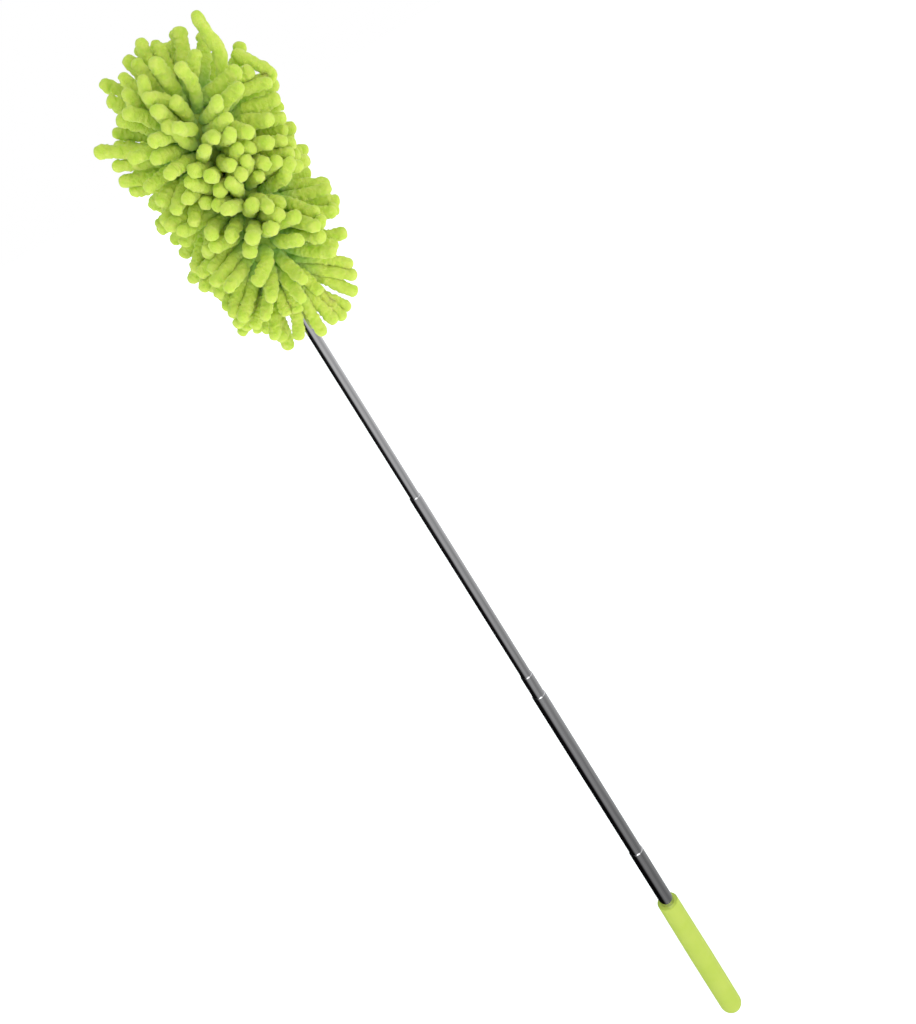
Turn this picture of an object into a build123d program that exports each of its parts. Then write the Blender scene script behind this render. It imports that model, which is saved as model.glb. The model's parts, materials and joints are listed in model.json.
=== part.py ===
from build123d import *
import os
from math import cos, radians, sin, tan

# A telescopic chenille duster, standing upright.
# Millimetres. +Z runs up the pole from the grip to the head, and the head leans towards -Y.
# The origin is on the pole's axis, in the middle of the straight length of the grip.

# Grip: a moulded soft sleeve with a domed closed end
GRIP_LENGTH = 128.7
BUTT_Z = -36.5
HOLD_HALF_LENGTH = 28.5
HOLD_RADIUS = 8.1
GRIP_MOUTH_RADIUS = 7.6
GRIP_MOUTH_ROUND = 0.4
GRIP_FLOOR = 5.0
SLIP = 0.02                     # radial room between pieces that are pressed or glued together

# Pole: five thin steel tubes, each 1 mm smaller across than the one it slides in
POLE_BOTTOM_Z = -17.2
SECTION_COUNT = 5
FIRST_RADIUS = 5.0
RADIUS_STEP = 0.5
FIRST_LENGTH = 165.0
LENGTH_STEP = 5.0
WALL = 0.3
RUNNING_FIT = 0.03              # radial room in a rolled mouth
LIP_LAND = 2.0
LIP_CONE = 0.5
LIP_ROUND = 0.4

# Lower end of each sliding section: a rolled neck that carries two friction shims
TAIL_LENGTH = 1.0
TAIL_FLARE = 0.1
NECK_LENGTH = 6.0
NECK_DEPTH = 0.15
NECK_SLOPE = 0.5
SHIM_LENGTH = 5.4
SHIM_BULGE = 0.05               # the shims' middle stands this far out of their ends
SHIM_SPAN = 170.0               # degrees covered by each half shell
STOP_GAP = 0.1
SEAT_OFFSET = 8.0               # closed, each section stands this far above the last one's end
THIRD_SECTION_LIFT = 14.1       # the third section is drawn out only this far

# Plug that closes the first section
PLUG_STEM = 7.0
PLUG_CHAMFER = 0.5

# Head socket, moulded plastic, and its cross pin
SOCKET_RADIUS = 7.0
SOCKET_LENGTH = 22.0
SOCKET_GRASP = 10.0             # length of the last section inside the socket
SOCKET_CHAMFER = 0.6
PIN_RADIUS = 0.8

# Core wire: one hairpin of soft steel wire
WIRE_RADIUS = 1.2
WIRE_ROOT_X = 3.2
WIRE_X = 9.0
WIRE_GRASP = 10.0
WIRE_RISE = 2.0                 # straight length above the socket, before the legs spread
WIRE_SPREAD_RUN = 10.0          # height in which the legs spread
WIRE_SPREAD_ROUND = 12.0
WIRE_BELOW_DOME = 1.0           # the hairpin's round top starts this far below the foam's

# The head bends half way up, at HINGE_Z
HINGE_Z = 652.0
REST_BEND = 22.0
ZONE_HALF = 16.5
END_GAP = 0.1

# Soft layers round the wire, as radii
FOAM_RADIUS = 12.5
CLOTH = 1.0
LAYER_GAP = 0.1
FOAM_ABOVE_SOCKET = 1.0
FLARE_HEIGHT = 14.0             # above the socket, where the foam and cloth reach full width
FOAM_TOP_CENTRE = 29.0          # above the hinge, centre of the rounded top
NECK_LOW = 4.0                  # above the socket's lower end
ELASTIC_LOW = 7.0               # above the socket's lower end
ELASTIC_THICKNESS = 1.0
ELASTIC_WIDTH = 5.0

# Room taken by the chenille fingers, as radius and height
PILE_WAIST = 38.5
PILE_THROAT = 9.6
PILE_THROAT_DROP = 6.0          # the throat widens from this far below the socket's top
LOWER_PILE = ((26.0, 560.0), (36.0, 582.0), (43.0, 610.0))
UPPER_PILE = ((45.5, 31.0), (36.0, 54.0), (18.0, 69.0), (0.0, 72.0))    # heights above the hinge

STANDING = (Align.CENTER, Align.CENTER, Align.MIN)


def section_radius(number):
    return FIRST_RADIUS - RADIUS_STEP * (number - 1)


def section_length(number):
    return FIRST_LENGTH - LENGTH_STEP * (number - 1)


neck_top = TAIL_LENGTH + NECK_LENGTH + NECK_SLOPE
shim_bottom = TAIL_LENGTH + (NECK_LENGTH - SHIM_LENGTH) / 2
overlap = shim_bottom + SHIM_LENGTH + STOP_GAP + LIP_CONE + LIP_LAND


def section_bottom(number):
    """Height of a section's lower end. Every stage but the third is fully drawn out."""
    if number == 1:
        return POLE_BOTTOM_Z
    below = section_bottom(number - 1)
    if number == 3:
        return below + SEAT_OFFSET + THIRD_SECTION_LIFT
    return below + section_length(number - 1) - overlap


pole_top = section_bottom(SECTION_COUNT) + section_length(SECTION_COUNT)
socket_bottom = pole_top - SOCKET_GRASP
socket_top = socket_bottom + SOCKET_LENGTH
pin_z = socket_bottom + SOCKET_GRASP / 2
zone_bottom = HINGE_Z - ZONE_HALF
bend_radius = ZONE_HALF / tan(radians(REST_BEND / 2))
cloth_inner = FOAM_RADIUS + LAYER_GAP
cloth_outer = cloth_inner + CLOTH
pile_inner = cloth_outer + 2 * LAYER_GAP
flare_top = socket_top + FLARE_HEIGHT


def turned(sketch):
    """Revolve a sketch drawn as (radius, height) about the pole's axis."""
    return revolve(Plane.XZ * sketch, Axis.Z)


def outline(*points):
    return make_face(Polyline(*points, close=True))


def post(radius, low, height):
    """A plain upright cylinder standing on the height low."""
    return Pos(0, 0, low) * Cylinder(radius, height, align=STANDING)


def leaning(shape):
    """Place a shape drawn upright from the hinge onto the leaning upper half of the head."""
    return Pos(0, 0, HINGE_Z) * Rot(REST_BEND, 0, 0) * shape


def bent(sketch):
    """Carry a cross-section round the arc between the two halves of the head."""
    centre = Axis((0, -bend_radius, zone_bottom), (1, 0, 0))
    return revolve(Plane.XY.offset(zone_bottom) * sketch, centre, REST_BEND)


def grip_sleeve():
    """Dome, straight hold and slight taper up to a rounded mouth, with a blind bore."""
    mouth_z = BUTT_Z + GRIP_LENGTH
    hold_low = (HOLD_RADIUS, -HOLD_HALF_LENGTH)
    dome_height = -HOLD_HALF_LENGTH - BUTT_Z
    half_turn = radians(45)
    dome_mid = (HOLD_RADIUS * sin(half_turn), -HOLD_HALF_LENGTH - dome_height * cos(half_turn))
    dome = ThreePointArc((0, BUTT_Z), dome_mid, hold_low)
    side = Polyline(
        hold_low,
        (HOLD_RADIUS, HOLD_HALF_LENGTH),
        (GRIP_MOUTH_RADIUS, mouth_z),
        (FIRST_RADIUS + SLIP, mouth_z),
        (FIRST_RADIUS + SLIP, BUTT_Z + GRIP_FLOOR),
        (0, BUTT_Z + GRIP_FLOOR),
        (0, BUTT_Z),
    )
    section = make_face(dome.edges() + side.edges())
    mouth_corner = section.vertices().group_by(Axis.Y)[-1].sort_by(Axis.X)[-1]
    return turned(fillet(mouth_corner, GRIP_MOUTH_ROUND))


def butt_plug():
    """Spacer that fills the grip's bore below the pole, with a stem pressed into the pole."""
    stem_radius = FIRST_RADIUS - WALL - SLIP
    plug = turned(outline(
        (0, BUTT_Z + GRIP_FLOOR),
        (FIRST_RADIUS, BUTT_Z + GRIP_FLOOR),
        (FIRST_RADIUS, POLE_BOTTOM_Z),
        (stem_radius, POLE_BOTTOM_Z),
        (stem_radius, POLE_BOTTOM_Z + PLUG_STEM),
        (0, POLE_BOTTOM_Z + PLUG_STEM),
    ))
    return chamfer(plug.edges().group_by(Axis.Z)[-1], PLUG_CHAMFER)


def lower_outer(number):
    """Outside of a section's lower end: plain on the first, tail and rolled neck on the rest."""
    r = section_radius(number)
    if number == 1:
        return [(r, 0.0)]
    neck = r - NECK_DEPTH
    return [
        (r + TAIL_FLARE, 0.0),
        (r + TAIL_FLARE, TAIL_LENGTH),
        (neck, TAIL_LENGTH),
        (neck, TAIL_LENGTH + NECK_LENGTH),
        (r, neck_top),
    ]


def lower_inner(number):
    """Inside of a section's lower end, from the bore down to the end."""
    bore = section_radius(number) - WALL
    if number == 1:
        return [(bore, 0.0)]
    neck = bore - NECK_DEPTH
    return [
        (bore, neck_top),
        (neck, TAIL_LENGTH + NECK_LENGTH),
        (neck, TAIL_LENGTH),
        (bore + TAIL_FLARE, TAIL_LENGTH / 2),
        (bore + TAIL_FLARE, 0.0),
    ]


def upper_inner(number):
    """Inside of a section's upper end: a rolled lip that guides the next section."""
    bore = section_radius(number) - WALL
    top = section_length(number)
    if number == SECTION_COUNT:
        return [(bore, top)]
    guide = section_radius(number + 1) + RUNNING_FIT
    return [
        (guide, top),
        (guide, top - LIP_LAND),
        (bore, top - LIP_LAND - LIP_CONE),
    ]


def pole_section(number):
    r = section_radius(number)
    points = lower_outer(number) + [(r, section_length(number))]
    points += upper_inner(number) + lower_inner(number)
    section = outline(*points)
    if number < SECTION_COUNT:
        mouth_corner = section.vertices().group_by(Axis.Y)[-1].sort_by(Axis.X)[-1]
        section = fillet(mouth_corner, LIP_ROUND)
    tube = Pos(0, 0, section_bottom(number)) * turned(section)
    if number == SECTION_COUNT:
        tube -= pin_shape(PIN_RADIUS + SLIP)
    return tube


def friction_shims(number):
    """Two half shells of spring brass in a section's neck, bearing on the bore outside it."""
    r = section_radius(number)
    inner = r - NECK_DEPTH + SLIP
    outer = r + RADIUS_STEP - WALL - SLIP
    end = outer - SHIM_BULGE
    top = shim_bottom + SHIM_LENGTH
    middle = shim_bottom + SHIM_LENGTH / 2
    side = Polyline((end, top), (inner, top), (inner, shim_bottom), (end, shim_bottom))
    bulge = ThreePointArc((end, shim_bottom), (outer, middle), (end, top))
    section = make_face(side.edges() + bulge.edges())
    half = revolve(Plane.XZ * section, Axis.Z, SHIM_SPAN)
    half = Pos(0, 0, section_bottom(number)) * half
    return Compound(children=[half, Rot(0, 0, 180) * half])


def pin_shape(radius):
    return Pos(0, 0, pin_z) * Rot(0, 90, 0) * Cylinder(radius, 2 * SOCKET_RADIUS)


def wire_path(side):
    """Straight out of the socket, spread outwards, then straight up to the bend."""
    x = side * WIRE_X
    root = side * WIRE_ROOT_X
    spread_low = socket_top + WIRE_RISE
    return FilletPolyline(
        (root, 0, socket_top - WIRE_GRASP),
        (root, 0, spread_low),
        (x, 0, spread_low + WIRE_SPREAD_RUN),
        (x, 0, zone_bottom - END_GAP),
        radius=WIRE_SPREAD_ROUND,
    )


def lower_wires(radius):
    legs = []
    for side in (-1, 1):
        path = wire_path(side)
        legs.append(sweep(Plane(origin=path @ 0, z_dir=path % 0) * Circle(radius), path=path))
    return legs


def wire_circles(radius):
    return Pos(WIRE_X, 0) * Circle(radius) + Pos(-WIRE_X, 0) * Circle(radius)


def upper_wire(radius):
    """The hairpin's two upper legs and its round top, drawn upright from the hinge."""
    low = ZONE_HALF + END_GAP
    top = FOAM_TOP_CENTRE - WIRE_BELOW_DOME
    legs = extrude(Plane.XY.offset(low) * wire_circles(radius), top - low)
    leg_end = Plane.XY.offset(top) * Pos(WIRE_X, 0) * Circle(radius)
    return legs + revolve(leg_end, Axis((0, 0, top), (0, 1, 0)), -180)


def head_socket():
    """Moulded socket: the pole below, the two wire ends above, and a cross hole for the pin."""
    body = post(SOCKET_RADIUS, socket_bottom, SOCKET_LENGTH)
    body = chamfer(body.edges().filter_by(GeomType.CIRCLE), SOCKET_CHAMFER)
    body -= post(section_radius(SECTION_COUNT) + SLIP, socket_bottom, SOCKET_GRASP)
    for leg in lower_wires(WIRE_RADIUS + SLIP):
        body -= leg
    return body - pin_shape(PIN_RADIUS + SLIP)


def socket_pin():
    """Cross pin, cut to lie flush with the round of the socket."""
    envelope = Pos(0, 0, pin_z) * Cylinder(SOCKET_RADIUS, 4 * PIN_RADIUS)
    return pin_shape(PIN_RADIUS) & envelope


def foam_core_lower():
    low = socket_top + FOAM_ABOVE_SOCKET
    foam = turned(outline(
        (0, low),
        (SOCKET_RADIUS, low),
        (FOAM_RADIUS, flare_top),
        (FOAM_RADIUS, zone_bottom - END_GAP),
        (0, zone_bottom - END_GAP),
    ))
    for leg in lower_wires(WIRE_RADIUS + LAYER_GAP):
        foam -= leg
    return foam


def foam_core_bend():
    return bent(Circle(FOAM_RADIUS) - wire_circles(WIRE_RADIUS + LAYER_GAP))


def rounded_post(radius):
    """A post with a round top, drawn upright from the hinge."""
    low = ZONE_HALF + END_GAP
    dome = Pos(0, 0, FOAM_TOP_CENTRE) * Sphere(radius, arc_size1=0, align=STANDING)
    return post(radius, low, FOAM_TOP_CENTRE - low) + dome


def foam_core_upper():
    return leaning(rounded_post(FOAM_RADIUS) - upper_wire(WIRE_RADIUS + LAYER_GAP))


def cloth_sleeve_lower():
    """Neck gathered round the socket, spreading out over the foam."""
    neck = SOCKET_RADIUS + LAYER_GAP
    neck_bottom = socket_bottom + NECK_LOW
    return turned(outline(
        (neck, neck_bottom),
        (neck + CLOTH, neck_bottom),
        (neck + CLOTH, socket_top),
        (cloth_outer, flare_top),
        (cloth_outer, zone_bottom - END_GAP),
        (cloth_inner, zone_bottom - END_GAP),
        (cloth_inner, flare_top),
        (neck, socket_top),
    ))


def cloth_sleeve_bend():
    return bent(Circle(cloth_outer) - Circle(cloth_inner))


def cloth_sleeve_upper():
    return leaning(rounded_post(cloth_outer) - rounded_post(cloth_inner))


def neck_elastic():
    """Elastic band that draws the cloth's neck onto the socket."""
    inner = SOCKET_RADIUS + LAYER_GAP + CLOTH + LAYER_GAP
    low = socket_bottom + ELASTIC_LOW
    return turned(outline(
        (inner, low),
        (inner + ELASTIC_THICKNESS, low),
        (inner + ELASTIC_THICKNESS, low + ELASTIC_WIDTH),
        (inner, low + ELASTIC_WIDTH),
    ))


def chenille_pile_lower():
    """Room taken by the lower fingers, which hang down past the socket."""
    top = zone_bottom - END_GAP
    rim_radius, rim_z = LOWER_PILE[0]
    outside = Spline(*LOWER_PILE, (PILE_WAIST, top))
    inside = Polyline(
        (PILE_WAIST, top),
        (pile_inner, top),
        (pile_inner, flare_top),
        (PILE_THROAT, socket_top - PILE_THROAT_DROP),
        (PILE_THROAT, rim_z),
        (rim_radius, rim_z),
    )
    return turned(make_face(outside.edges() + inside.edges()))


def chenille_pile_bend():
    return bent(Circle(PILE_WAIST) - Circle(pile_inner))


def chenille_pile_upper():
    """Room taken by the upper fingers, a fat round bush over the end of the sleeve."""
    low = ZONE_HALF + END_GAP
    outside = Spline((PILE_WAIST, low), *UPPER_PILE)
    inside = Polyline(UPPER_PILE[-1], (0.0, low), (PILE_WAIST, low))
    bush = turned(make_face(outside.edges() + inside.edges()))
    return leaning(bush - rounded_post(pile_inner))


def nodes():
    parts = {
        "grip_sleeve": grip_sleeve(),
        "butt_plug": butt_plug(),
        "head_socket": head_socket(),
        "socket_pin": socket_pin(),
        "core_wire_lower": Compound(children=lower_wires(WIRE_RADIUS)),
        "core_wire_bend": bent(wire_circles(WIRE_RADIUS)),
        "core_wire_upper": leaning(upper_wire(WIRE_RADIUS)),
        "foam_core_lower": foam_core_lower(),
        "foam_core_bend": foam_core_bend(),
        "foam_core_upper": foam_core_upper(),
        "cloth_sleeve_lower": cloth_sleeve_lower(),
        "cloth_sleeve_bend": cloth_sleeve_bend(),
        "cloth_sleeve_upper": cloth_sleeve_upper(),
        "neck_elastic": neck_elastic(),
        "chenille_pile_lower": chenille_pile_lower(),
        "chenille_pile_bend": chenille_pile_bend(),
        "chenille_pile_upper": chenille_pile_upper(),
    }
    for number in range(1, SECTION_COUNT + 1):
        parts[f"pole_section_{number}"] = pole_section(number)
        if number > 1:
            parts[f"friction_shims_{number}"] = friction_shims(number)
    return parts


os.makedirs("parts", exist_ok=True)
for name, shape in nodes().items():
    export_step(shape, f"parts/{name}.step")
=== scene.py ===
import json
import math

import bpy
import numpy as np
from mathutils import Matrix, Vector


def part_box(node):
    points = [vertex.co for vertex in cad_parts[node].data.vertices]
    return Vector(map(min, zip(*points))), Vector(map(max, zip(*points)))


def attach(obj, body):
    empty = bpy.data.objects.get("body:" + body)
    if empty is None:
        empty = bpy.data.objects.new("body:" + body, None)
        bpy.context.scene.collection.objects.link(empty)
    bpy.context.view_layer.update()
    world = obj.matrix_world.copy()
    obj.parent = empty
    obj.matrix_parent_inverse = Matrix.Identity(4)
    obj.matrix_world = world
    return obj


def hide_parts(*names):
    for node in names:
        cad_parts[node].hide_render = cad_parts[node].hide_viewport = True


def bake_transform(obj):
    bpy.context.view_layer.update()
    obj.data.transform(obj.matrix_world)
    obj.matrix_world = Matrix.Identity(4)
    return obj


# The looks of a telescopic chenille duster, in metres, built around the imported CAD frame.
# The head is about 270 chenille fingers, grown row by row on the backing cloth and then settled
# so that they push each other apart. The pole, grip, socket and pin are the CAD parts.

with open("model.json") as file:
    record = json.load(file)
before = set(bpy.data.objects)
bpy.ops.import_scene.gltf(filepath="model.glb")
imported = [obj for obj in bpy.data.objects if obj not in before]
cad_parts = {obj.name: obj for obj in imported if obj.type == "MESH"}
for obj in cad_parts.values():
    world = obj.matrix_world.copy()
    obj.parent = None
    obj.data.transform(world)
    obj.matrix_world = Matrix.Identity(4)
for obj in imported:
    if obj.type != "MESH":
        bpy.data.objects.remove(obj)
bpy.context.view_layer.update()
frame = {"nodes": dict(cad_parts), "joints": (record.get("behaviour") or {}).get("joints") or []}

MM = 0.001
rng = np.random.default_rng(20)

# --- The head's core line: straight up, round the bend, then leaning forward -------------------
HINGE = np.array(next(j for j in frame["joints"] if j["name"] == "head_bend")["pos_m"])
LEAN = math.radians(22.0)
ZONE_HALF = 16.5 * MM           # from the hinge to each end of the bend, along the straight parts
BEND_RADIUS = ZONE_HALF / math.tan(LEAN / 2)
ARC_HALF = BEND_RADIUS * LEAN / 2
SIDE = np.array([1.0, 0.0, 0.0])
SWAY = 4.5 * MM                 # how far the head has been knocked over to its right
SWAY_FROM = -62.0 * MM          # along the core line, where that starts
SWAY_REACH = 40.0 * MM          # and how much further on it is complete

SOCKET_LOW, SOCKET_HIGH = (np.array(corner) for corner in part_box("head_socket"))
SOCKET_TOP = SOCKET_HIGH[2]
SOCKET_RADIUS = SOCKET_HIGH[0]

# --- Cloth ---------------------------------------------------------------------------------------
CLOTH_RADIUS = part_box("cloth_sleeve_lower")[1][0]
NECK_GAP = 1.1 * MM             # from the socket to the outside of the cloth
NECK_RADIUS = SOCKET_RADIUS + NECK_GAP
NECK_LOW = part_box("cloth_sleeve_lower")[0][2]
FLARE = 14.0 * MM               # how far above the socket the bag reaches its full width
CLOTH_THICKNESS = 0.9 * MM
TOP_CENTRE = 29.0 * MM          # along the core, above the hinge: centre of the rounded end

# --- Fingers -------------------------------------------------------------------------------------
FINGER_RADIUS = 3.05 * MM
FINGER_LENGTH = 30.0 * MM
ROW_STEP = 5.7 * MM             # from row to row, and from finger to finger in a row
FIRST_ROW = -57.0 * MM          # along the core line
LINKS = 8                       # straight links in one finger while the fingers settle


def eased(share):
    """A share held between 0 and 1, with a soft start and end."""
    share = min(max(share, 0.0), 1.0)
    return share * share * (3 - 2 * share)


def core_at(h):
    """Point on the core line and its direction, for h metres along it from the bend's middle."""
    angle = min(max((h + ARC_HALF) / BEND_RADIUS, 0.0), LEAN)
    up = np.array([0.0, -math.sin(angle), math.cos(angle)])
    centre = HINGE + np.array([0.0, -BEND_RADIUS, -ZONE_HALF])
    point = centre + BEND_RADIUS * np.array([0.0, math.cos(angle), math.sin(angle)])
    point = point + (h - min(max(h, -ARC_HALF), ARC_HALF)) * up
    rise = min(max((h - SWAY_FROM) / SWAY_REACH, 0.0), 1.0)
    sideways = SWAY * rise * rise * (3 - 2 * rise)
    slope = SWAY * 6 * rise * (1 - rise) / SWAY_REACH
    up = up + slope * SIDE
    return point + sideways * SIDE, up / np.linalg.norm(up)


def core_height(z):
    """How far along the core line a height on its straight lower part is."""
    return z - (HINGE[2] - ZONE_HALF) - ARC_HALF


def cloth_radius(h):
    """Outer radius of the cloth bag, h metres along the core line."""
    if h >= TOP_CENTRE:
        return math.sqrt(max(CLOTH_RADIUS**2 - (h - TOP_CENTRE) ** 2, 0.0))
    flare_low, flare_high = core_height(SOCKET_TOP), core_height(SOCKET_TOP + FLARE)
    return NECK_RADIUS + (CLOTH_RADIUS - NECK_RADIUS) * eased((h - flare_low) / (flare_high - flare_low))


def around(up, angle):
    """Unit vector out from the core at an angle that starts at +X and turns towards the back."""
    back = np.cross(up, SIDE)
    return math.cos(angle) * SIDE + math.sin(angle) * back


# --- Small helpers -------------------------------------------------------------------------------
def mesh_object(name, vertices, faces, material):
    """A smooth-shaded piece with its look in a material slot."""
    mesh = bpy.data.meshes.new(name)
    mesh.from_pydata([tuple(v) for v in vertices], [], faces)
    mesh.polygons.foreach_set("use_smooth", [True] * len(mesh.polygons))
    mesh.materials.append(material)
    mesh.update()
    obj = bpy.data.objects.new(name, mesh)
    bpy.context.collection.objects.link(obj)
    return obj


def tree_of(name):
    """A new material, with its nodes, its links and its shader."""
    material = bpy.data.materials.new(name)
    material.use_nodes = True
    nodes = material.node_tree.nodes
    links = material.node_tree.links
    return material, nodes, links, nodes["Principled BSDF"]


def noise(nodes, links, scale, detail=2.0, stretch=(1, 1, 1)):
    """Noise in the object's own metres, so that a scale is turns per metre."""
    place = nodes.new("ShaderNodeTexCoord")
    mapping = nodes.new("ShaderNodeMapping")
    mapping.inputs["Scale"].default_value = stretch
    texture = nodes.new("ShaderNodeTexNoise")
    texture.inputs["Scale"].default_value = scale
    texture.inputs["Detail"].default_value = detail
    links.new(place.outputs["Object"], mapping.inputs["Vector"])
    links.new(mapping.outputs["Vector"], texture.inputs["Vector"])
    return texture.outputs["Fac"]


def ramp(nodes, links, value, stops):
    """Colour for a value, from (value, colour) stops."""
    node = nodes.new("ShaderNodeValToRGB")
    elements = node.color_ramp.elements
    for index, (position, color) in enumerate(stops):
        element = elements[index] if index < len(elements) else elements.new(position)
        element.position = position
        element.color = (*color, 1.0)
    links.new(value, node.inputs["Fac"])
    return node.outputs["Color"]


def ramp_value(nodes, links, value, low, high, start=0.3, end=0.7):
    """A value between start and end, mapped to between low and high."""
    node = nodes.new("ShaderNodeMapRange")
    node.inputs["From Min"].default_value = start
    node.inputs["From Max"].default_value = end
    node.inputs["To Min"].default_value = low
    node.inputs["To Max"].default_value = high
    links.new(value, node.inputs["Value"])
    return node.outputs["Result"]


def add_bump(nodes, links, shader, height, strength, distance):
    """Raises the shader's surface by a height field, distance metres deep."""
    bump = nodes.new("ShaderNodeBump")
    bump.inputs["Strength"].default_value = strength
    bump.inputs["Distance"].default_value = distance
    links.new(height, bump.inputs["Height"])
    links.new(bump.outputs["Normal"], shader.inputs["Normal"])


# --- Materials -----------------------------------------------------------------------------------
MIX_A, MIX_B, MIX_RESULT = 6, 7, 2      # the colour sockets of a Mix node, which have no names of their own


def chenille_material():
    """Lime microfibre pile: mottled, dull, with short raised fibres, and painted shade that makes it darker
    and greener towards the roots.
    """
    material, nodes, links, shader = tree_of("chenille")
    tips = ramp(nodes, links, noise(nodes, links, scale=230.0, detail=3.0), [
        (0.30, (0.500, 0.700, 0.055)),
        (0.50, (0.575, 0.735, 0.078)),
        (0.70, (0.650, 0.765, 0.105)),
    ])
    # Painted shade: a darker, greener colour at the finger roots, where shade falls between the fingers.
    roots = ramp(nodes, links, noise(nodes, links, scale=230.0, detail=3.0), [
        (0.30, (0.340, 0.610, 0.120)),
        (0.70, (0.400, 0.670, 0.140)),
    ])
    # How far along its finger a point is sets how much of that painted shade it gets, full lime from
    # halfway to the tip.
    reach = nodes.new("ShaderNodeAttribute")
    reach.attribute_name = "reach"
    share = ramp_value(nodes, links, reach.outputs["Fac"], low=0.0, high=1.0, start=0.08, end=0.5)
    mix = nodes.new("ShaderNodeMix")
    mix.data_type = "RGBA"
    links.new(share, mix.inputs["Factor"])
    links.new(roots, mix.inputs[MIX_A])
    links.new(tips, mix.inputs[MIX_B])
    links.new(mix.outputs[MIX_RESULT], shader.inputs["Base Color"])
    shader.inputs["Roughness"].default_value = 0.95
    shader.inputs["Specular IOR Level"].default_value = 0.1
    shader.inputs["Subsurface Weight"].default_value = 0.75
    shader.inputs["Subsurface Radius"].default_value = (0.8, 1.0, 0.6)
    shader.inputs["Subsurface Scale"].default_value = 0.004
    shader.inputs["Sheen Weight"].default_value = 0.08
    shader.inputs["Sheen Roughness"].default_value = 0.5
    shader.inputs["Sheen Tint"].default_value = (0.8, 0.95, 0.45, 1.0)
    fibres = noise(nodes, links, scale=1500.0, detail=4.0)
    add_bump(nodes, links, shader, fibres, strength=0.9, distance=0.0008)
    return material


def cloth_material():
    """Knitted backing cloth: fine ribs along the bag."""
    material, nodes, links, shader = tree_of("backing_cloth")
    color = ramp(nodes, links, noise(nodes, links, scale=600.0, detail=2.0), [
        (0.3, (0.300, 0.480, 0.035)),
        (0.7, (0.380, 0.560, 0.060)),
    ])
    links.new(color, shader.inputs["Base Color"])
    shader.inputs["Roughness"].default_value = 0.95
    ribs = noise(nodes, links, scale=900.0, detail=1.0, stretch=(1, 1, 0.25))
    add_bump(nodes, links, shader, ribs, strength=0.6, distance=0.0004)
    return material


def vinyl_material():
    """Soft moulded vinyl: faint mottling, a fine matt grain and slightly uneven gloss."""
    material, nodes, links, shader = tree_of("grip_vinyl")
    color = ramp(nodes, links, noise(nodes, links, scale=60.0, detail=3.0), [
        (0.35, (0.450, 0.600, 0.036)),
        (0.65, (0.495, 0.625, 0.050)),
    ])
    links.new(color, shader.inputs["Base Color"])
    gloss = ramp_value(nodes, links, noise(nodes, links, scale=180.0, detail=2.0), low=0.42, high=0.58)
    links.new(gloss, shader.inputs["Roughness"])
    shader.inputs["Subsurface Weight"].default_value = 0.15
    shader.inputs["Subsurface Radius"].default_value = (0.8, 1.0, 0.2)
    shader.inputs["Subsurface Scale"].default_value = 0.002
    grain = noise(nodes, links, scale=1400.0, detail=3.0)
    add_bump(nodes, links, shader, grain, strength=0.25, distance=0.0003)
    return material


def steel_material():
    """Bright drawn stainless tube: fine lengthwise draw lines and faint smudges."""
    material, nodes, links, shader = tree_of("stainless_tube")
    lines = noise(nodes, links, scale=2600.0, detail=3.0, stretch=(1, 1, 0.02))
    color = ramp(nodes, links, lines, [
        (0.3, (0.520, 0.520, 0.535)),
        (0.7, (0.620, 0.620, 0.635)),
    ])
    links.new(color, shader.inputs["Base Color"])
    shader.inputs["Metallic"].default_value = 1.0
    smudges = ramp_value(nodes, links, noise(nodes, links, scale=90.0, detail=3.0), low=0.09, high=0.17)
    links.new(smudges, shader.inputs["Roughness"])
    add_bump(nodes, links, shader, lines, strength=0.08, distance=0.00005)
    return material


def plain_metal(name, color, roughness, scale):
    """Metal with a fine grain in its colour and its gloss."""
    material, nodes, links, shader = tree_of(name)
    grain = noise(nodes, links, scale, detail=3.0)
    dark = tuple(0.8 * c for c in color)
    mottled = ramp(nodes, links, grain, [(0.3, dark), (0.7, color)])
    links.new(mottled, shader.inputs["Base Color"])
    gloss = ramp_value(nodes, links, grain, low=roughness - 0.06, high=roughness + 0.06)
    links.new(gloss, shader.inputs["Roughness"])
    shader.inputs["Metallic"].default_value = 1.0
    return material


def moulded_plastic(name, color):
    """Dark plastic with the faint texture of its mould."""
    material, nodes, links, shader = tree_of(name)
    light = tuple(1.5 * c for c in color)
    grain = noise(nodes, links, scale=300.0, detail=2.0)
    links.new(ramp(nodes, links, grain, [(0.3, color), (0.7, light)]), shader.inputs["Base Color"])
    links.new(ramp_value(nodes, links, grain, low=0.38, high=0.5), shader.inputs["Roughness"])
    texture = noise(nodes, links, scale=2500.0, detail=2.0)
    add_bump(nodes, links, shader, texture, strength=0.15, distance=0.0001)
    return material


def foam_material():
    """Open-cell foam."""
    material, nodes, links, shader = tree_of("core_foam")
    cells = noise(nodes, links, scale=1200.0, detail=2.0)
    color = ramp(nodes, links, cells, [(0.3, (0.55, 0.55, 0.48)), (0.6, (0.8, 0.8, 0.74))])
    links.new(color, shader.inputs["Base Color"])
    shader.inputs["Roughness"].default_value = 0.95
    add_bump(nodes, links, shader, cells, strength=0.8, distance=0.0008)
    return material


def elastic_material():
    """Braided elastic band: close upright ribs."""
    material, nodes, links, shader = tree_of("elastic_band")
    ribs = noise(nodes, links, scale=1800.0, detail=1.0, stretch=(1, 1, 0.1))
    color = ramp(nodes, links, ribs, [(0.35, (0.32, 0.50, 0.05)), (0.65, (0.44, 0.62, 0.09))])
    links.new(color, shader.inputs["Base Color"])
    shader.inputs["Roughness"].default_value = 0.85
    add_bump(nodes, links, shader, ribs, strength=0.6, distance=0.0004)
    return material


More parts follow.
